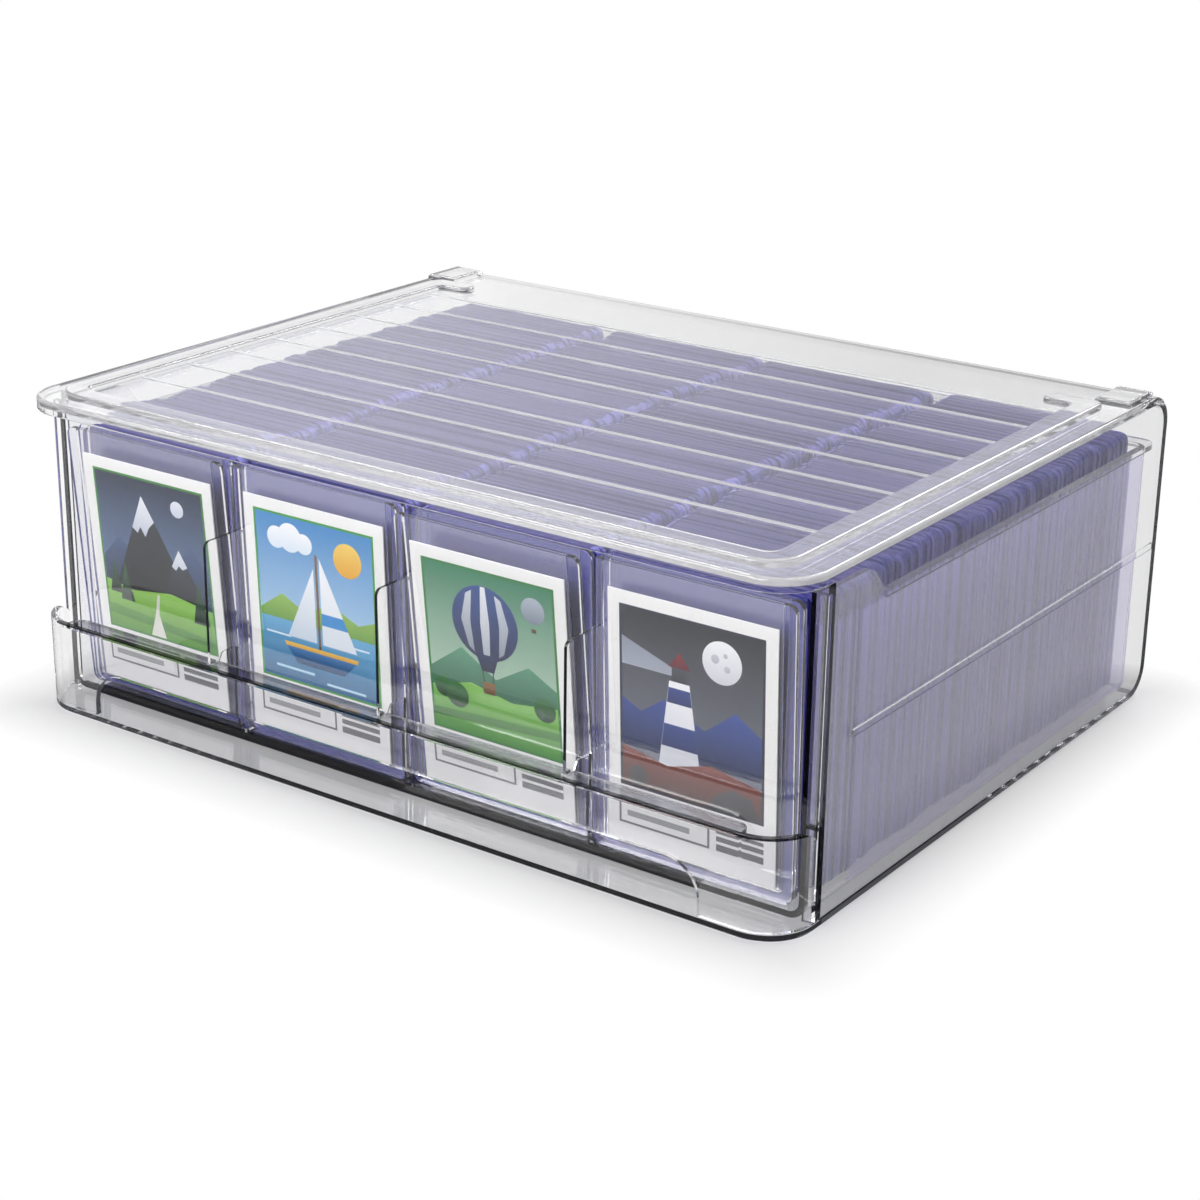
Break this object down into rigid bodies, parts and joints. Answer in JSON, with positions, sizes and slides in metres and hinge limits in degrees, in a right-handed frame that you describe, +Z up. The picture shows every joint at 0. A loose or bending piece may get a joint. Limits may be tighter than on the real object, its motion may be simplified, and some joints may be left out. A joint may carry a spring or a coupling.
{
  "type": "card storage drawer box",
  "caption": "Clear stacking box with a pull-out drawer, thin dividers and rows of rigid lavender card sleeves, the front ones each holding a card.",
  "frame": {"origin": "on the resting surface, under the middle of the case's plan", "axes": "+X to the right seen from the front, +Y to the back, +Z up"},
  "size_m": [0.33, 0.265, 0.1224],
  "materials": {
    "clear_case": "polished",
    "clear_drawer": "polished",
    "clear_divider": "polished",
    "lavender_vinyl": "gloss",
    "card_stock": "gloss"
  },
  "bodies": {
    "case": {"outer_case": "clear_case"},
    "drawer": {"drawer": "clear_drawer", "row_1_sleeves": "lavender_vinyl", "row_1_second_sleeve": "lavender_vinyl", "row_2_sleeves": "lavender_vinyl", "row_2_second_sleeve": "lavender_vinyl", "row_3_sleeves": "lavender_vinyl", "row_3_second_sleeve": "lavender_vinyl", "row_4_sleeves": "lavender_vinyl", "row_4_second_sleeve": "lavender_vinyl"},
    "divider_left_body": {"divider_left": "clear_divider"},
    "divider_middle_body": {"divider_middle": "clear_divider"},
    "divider_right_body": {"divider_right": "clear_divider"},
    "row_1_front": {"row_1_front_sleeve": "lavender_vinyl", "row_1_card": "card_stock"},
    "row_2_front": {"row_2_front_sleeve": "lavender_vinyl", "row_2_card": "card_stock"},
    "row_3_front": {"row_3_front_sleeve": "lavender_vinyl", "row_3_card": "card_stock"},
    "row_4_front": {"row_4_front_sleeve": "lavender_vinyl", "row_4_card": "card_stock"}
  },
  "joints": [
    {"name": "drawer_slide", "type": "slide", "parent": "case", "child": "drawer", "axis": [0, -1, 0], "range_m": [0, 0.19]},
    {"name": "divider_left_lift", "type": "slide", "parent": "drawer", "child": "divider_left_body", "axis": [0, 0, 1], "range_m": [0, 0.032]},
    {"name": "divider_middle_lift", "type": "slide", "parent": "drawer", "child": "divider_middle_body", "axis": [0, 0, 1], "range_m": [0, 0.032]},
    {"name": "divider_right_lift", "type": "slide", "parent": "drawer", "child": "divider_right_body", "axis": [0, 0, 1], "range_m": [0, 0.032]},
    {"name": "row_1_front_tip", "type": "hinge", "parent": "drawer", "child": "row_1_front", "pos_m": [-0.1173, -0.1106, 0.0053], "axis": [1, 0, 0], "range_deg": [-2, 17.5]},
    {"name": "row_2_front_tip", "type": "hinge", "parent": "drawer", "child": "row_2_front", "pos_m": [-0.0391, -0.1127, 0.0053], "axis": [1, 0, 0], "range_deg": [-1, 15.5]},
    {"name": "row_3_front_tip", "type": "hinge", "parent": "drawer", "child": "row_3_front", "pos_m": [0.0391, -0.1106, 0.0053], "axis": [1, 0, 0], "range_deg": [-2.8, 16]},
    {"name": "row_4_front_tip", "type": "hinge", "parent": "drawer", "child": "row_4_front", "pos_m": [0.1173, -0.1127, 0.0053], "axis": [1, 0, 0], "range_deg": [-1.2, 15.2]}
  ]
}
